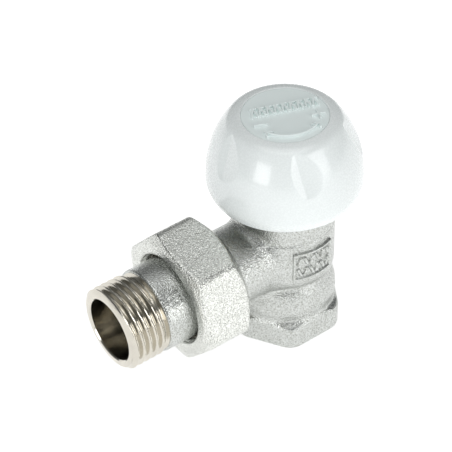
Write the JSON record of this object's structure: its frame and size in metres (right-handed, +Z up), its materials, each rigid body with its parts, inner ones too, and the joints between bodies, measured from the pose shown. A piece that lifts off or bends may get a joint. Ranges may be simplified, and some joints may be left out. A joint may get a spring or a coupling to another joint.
{
  "type": "lockshield valve",
  "caption": "Angle radiator valve with a push-on round cap, regulating spindle and plug, union nut and threaded tail.",
  "frame": {"origin": "centre of the inlet face, on the spindle's axis", "axes": "+Z up the spindle's axis out of the inlet, -X along the tail to the radiator, +Y across"},
  "size_m": [0.0712, 0.0378, 0.0627],
  "materials": {
    "valve_body": "nickel plate over a blasted forging",
    "bonnet": "turned brass",
    "bonnet_o_ring": "moulded",
    "thrust_washer": "cut sheet",
    "spindle": "turned brass",
    "lower_spindle_o_ring": "moulded",
    "upper_spindle_o_ring": "moulded",
    "spindle_circlip": "phosphated spring steel",
    "plug": "turned brass",
    "seat_washer": "moulded",
    "backing_washer": "stamped brass",
    "washer_screw": "turned brass",
    "cap_shell": "glossy white",
    "cap_disc": "glossy white with raised marks",
    "drive_hub": "natural nylon",
    "hub_spring_ring": "drawn spring wire",
    "tailpiece": "bright nickel plate",
    "tail_o_ring": "moulded",
    "union_nut": "nickel plate over a blasted forging"
  },
  "bodies": {
    "valve_body": {"valve_body": "valve_body", "bonnet": "bonnet", "bonnet_o_ring": "bonnet_o_ring", "thrust_washer": "thrust_washer"},
    "spindle": {"spindle": "spindle", "lower_spindle_o_ring": "lower_spindle_o_ring", "upper_spindle_o_ring": "upper_spindle_o_ring", "spindle_circlip": "spindle_circlip"},
    "cap": {"cap_shell": "cap_shell", "cap_disc": "cap_disc", "drive_hub": "drive_hub", "hub_spring_ring": "hub_spring_ring"},
    "plug": {"plug": "plug", "seat_washer": "seat_washer", "backing_washer": "backing_washer", "washer_screw": "washer_screw"},
    "tailpiece": {"tailpiece": "tailpiece", "tail_o_ring": "tail_o_ring"},
    "union_nut": {"union_nut": "union_nut"}
  },
  "joints": [
    {"name": "spindle_turn", "type": "hinge", "parent": "valve_body", "child": "spindle", "pos_m": [0, 0, 0.045], "axis": [0, 0, 1], "range_deg": [0, 900]},
    {"name": "cap_pull", "type": "slide", "parent": "spindle", "child": "cap", "axis": [0, 0, 1], "range_m": [0, 0.02]},
    {"name": "plug_lift", "type": "slide", "parent": "valve_body", "child": "plug", "axis": [0, 0, 1], "range_m": [0, 0.00401]},
    {"name": "tail_draw", "type": "slide", "parent": "valve_body", "child": "tailpiece", "axis": [-1, 0, 0], "range_m": [0, 0.00763]},
    {"name": "nut_turn", "type": "hinge", "parent": "tailpiece", "child": "union_nut", "pos_m": [-0.0285, 0, 0.0246], "axis": [-1, 0, 0], "range_deg": [0, 1512]}
  ],
  "couplings": [
    {"joint": "plug_lift", "follows": "spindle_turn", "m_per_rad": 0.00025465},
    {"joint": "tail_draw", "follows": "nut_turn", "m_per_rad": 0.00028871}
  ]
}
